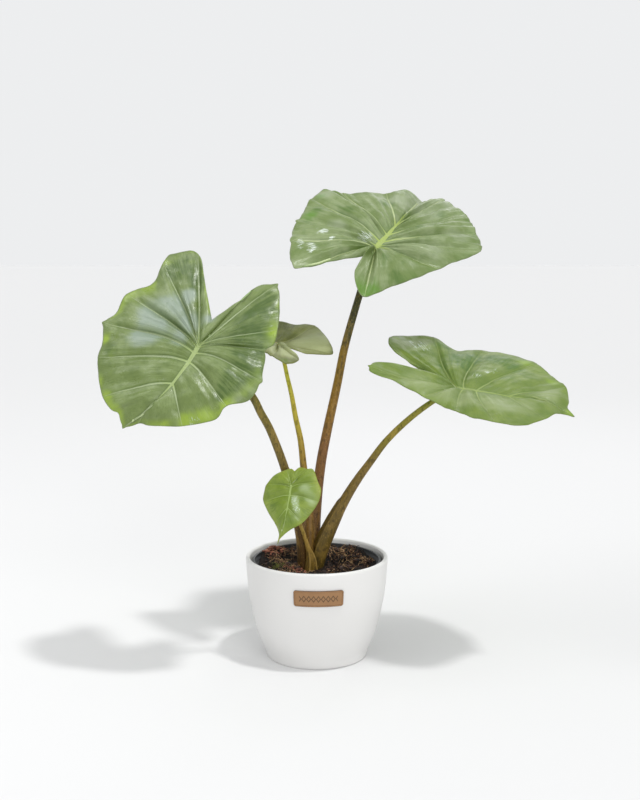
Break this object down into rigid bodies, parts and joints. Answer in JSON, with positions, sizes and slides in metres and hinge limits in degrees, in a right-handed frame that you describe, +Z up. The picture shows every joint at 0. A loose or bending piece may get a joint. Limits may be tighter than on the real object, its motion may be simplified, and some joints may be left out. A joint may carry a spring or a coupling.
{
  "type": "potted mask alocasia",
  "caption": "Broad-leaved aroid house plant in a nursery pot inside a glazed outer pot with a small plain name plate; stands on its flat foot.",
  "frame": {"origin": "centre of the outer pot's flat foot, on the surface that it stands on", "axes": "+Z up, -Y to the front, where the name plate is, +X to the viewer's right"},
  "size_m": [0.4432, 0.2945, 0.4629],
  "materials": {
    "outer_pot": "smooth white satin glaze",
    "nursery_pot": "dark grey moulded plastic",
    "name_plate": "brown card, matte, plain",
    "soil": "coir and peat with bark chips, matte",
    "corm": "brown fibrous rootstock",
    "blade_left": "glossy green leaf with pale veins",
    "blade_top": "satin pale green leaf with light veins",
    "blade_right": "satin yellow-green leaf with light veins",
    "blade_back": "satin grey-green leaf with light veins",
    "blade_young": "glossy bright green young leaf",
    "stalk_left": "olive-brown mottled stalk",
    "stalk_top": "olive to golden brown speckled stalk",
    "stalk_right": "olive-green mottled stalk with a pale sheath",
    "stalk_back": "yellow-green stalk",
    "stalk_young": "yellowish stalk with a thin sheath"
  },
  "bodies": {
    "root": {"outer_pot": "outer_pot", "nursery_pot": "nursery_pot", "name_plate": "name_plate", "soil": "soil", "corm": "corm", "blade_left": "blade_left", "blade_top": "blade_top", "blade_right": "blade_right", "blade_back": "blade_back", "blade_young": "blade_young", "stalk_left": "stalk_left", "stalk_top": "stalk_top", "stalk_right": "stalk_right", "stalk_back": "stalk_back", "stalk_young": "stalk_young"}
  },
  "joints": []
}
